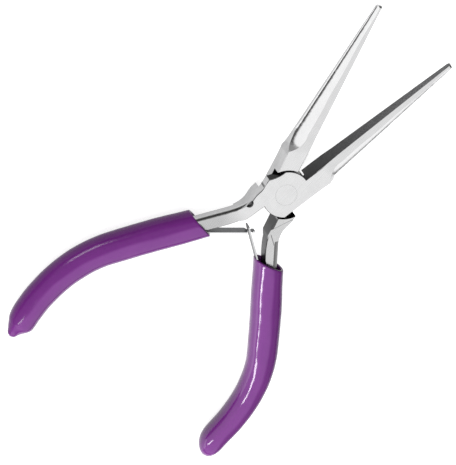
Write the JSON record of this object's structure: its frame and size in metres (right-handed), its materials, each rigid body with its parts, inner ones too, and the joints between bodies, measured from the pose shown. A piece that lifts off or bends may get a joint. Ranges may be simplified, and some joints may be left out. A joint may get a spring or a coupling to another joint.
{
  "type": "round nose pliers",
  "caption": "Spring-return lap-joint pliers with long slim tapering half-round jaws and purple slip-on vinyl grips, shown sprung open.",
  "frame": {"origin": "on the pivot axis, at the flat underside of the lap joint", "axes": "+Z along the pivot axis, out of the visible face of the joint; +Y from the pivot towards the jaw tips, midway between the two open halves; +X to the right"},
  "size_m": [0.0888, 0.1469, 0.0088],
  "materials": {
    "polished_steel": "bright polished forging with ground joint faces",
    "spring_steel": "dark tempered spring steel with bright sheared edges",
    "vinyl_grip": "glossy slip-on vinyl"
  },
  "bodies": {
    "rear": {"rear_half": "polished_steel", "rear_grip": "vinyl_grip", "slotted_spring": "spring_steel", "rear_spring_rivet": "spring_steel"},
    "front": {"front_half": "polished_steel", "pivot_rivet": "polished_steel", "front_grip": "vinyl_grip", "tongue_spring": "spring_steel", "front_spring_rivet": "spring_steel"}
  },
  "joints": [
    {"name": "pivot", "type": "hinge", "parent": "rear", "child": "front", "pos_m": [0, 0, 0], "axis": [0, 0, 1], "range_deg": [-4, 27.3], "stiffness_Nm_per_rad": 0.42, "deforming": ["slotted_spring", "tongue_spring"]}
  ]
}
